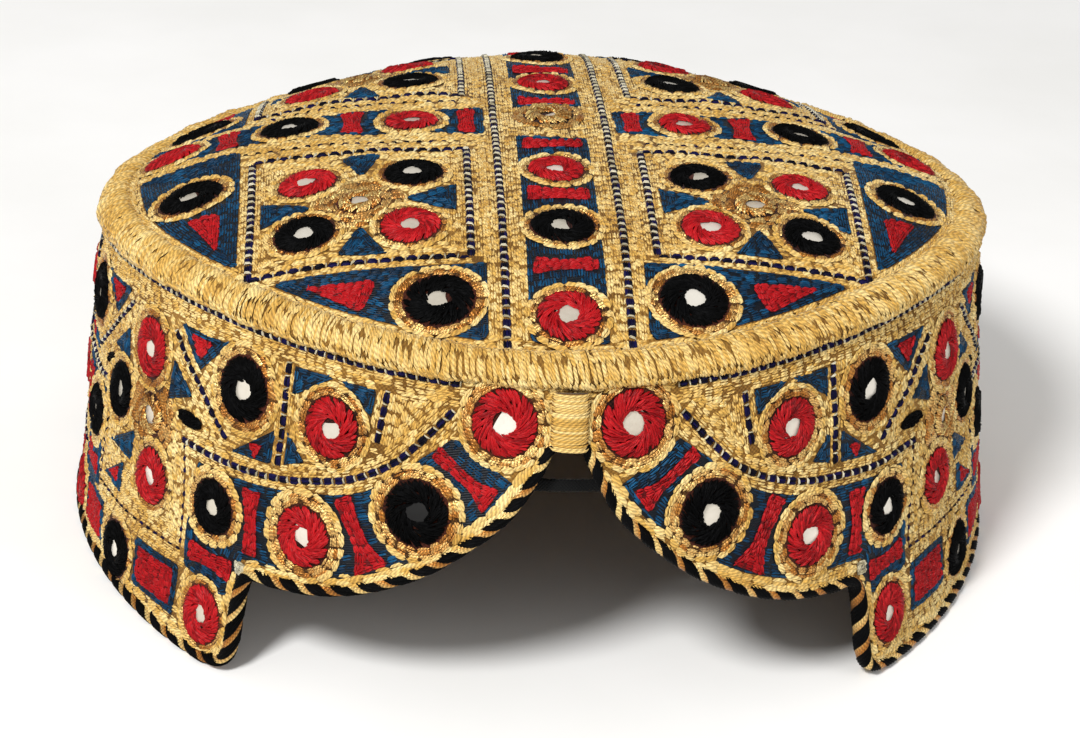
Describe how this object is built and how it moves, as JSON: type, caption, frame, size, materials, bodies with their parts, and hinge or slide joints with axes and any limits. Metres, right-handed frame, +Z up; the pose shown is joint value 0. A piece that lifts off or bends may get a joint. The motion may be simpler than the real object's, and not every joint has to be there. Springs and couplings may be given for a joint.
{
  "type": "embroidered cap",
  "caption": "Stiff embroidered cloth cap: low domed crown, padded rim roll, and a side band cut at the front into two lobes with an arch between them and an ear at each side.",
  "frame": {"origin": "middle of the part's footprint at the level of the lower edge of the ears and back, on which the cap stands", "axes": "+Z up through the crown, -Y towards the front arch, +X to the right as the arch is looked at"},
  "size_m": [0.19, 0.1874, 0.0826],
  "materials": {
    "crown_cloth": "gold cotton chain stitch with teal, red and black fields and small mirrors",
    "gold_satin_roll": "gold cotton wrapped over a padded roll",
    "band_cloth": "gold cotton chain stitch with teal, red and black fields and small mirrors",
    "wrapped_edging": "black and gold thread wrapped over the edge",
    "gold_satin_tab": "gold cotton wrapped level",
    "black_tape": "plain woven black tape"
  },
  "bodies": {
    "root": {"crown": "crown_cloth", "rim_roll": "gold_satin_roll", "side_band": "band_cloth", "edge_cord": "wrapped_edging", "front_tab": "gold_satin_tab", "notch_tie": "black_tape"}
  },
  "joints": []
}
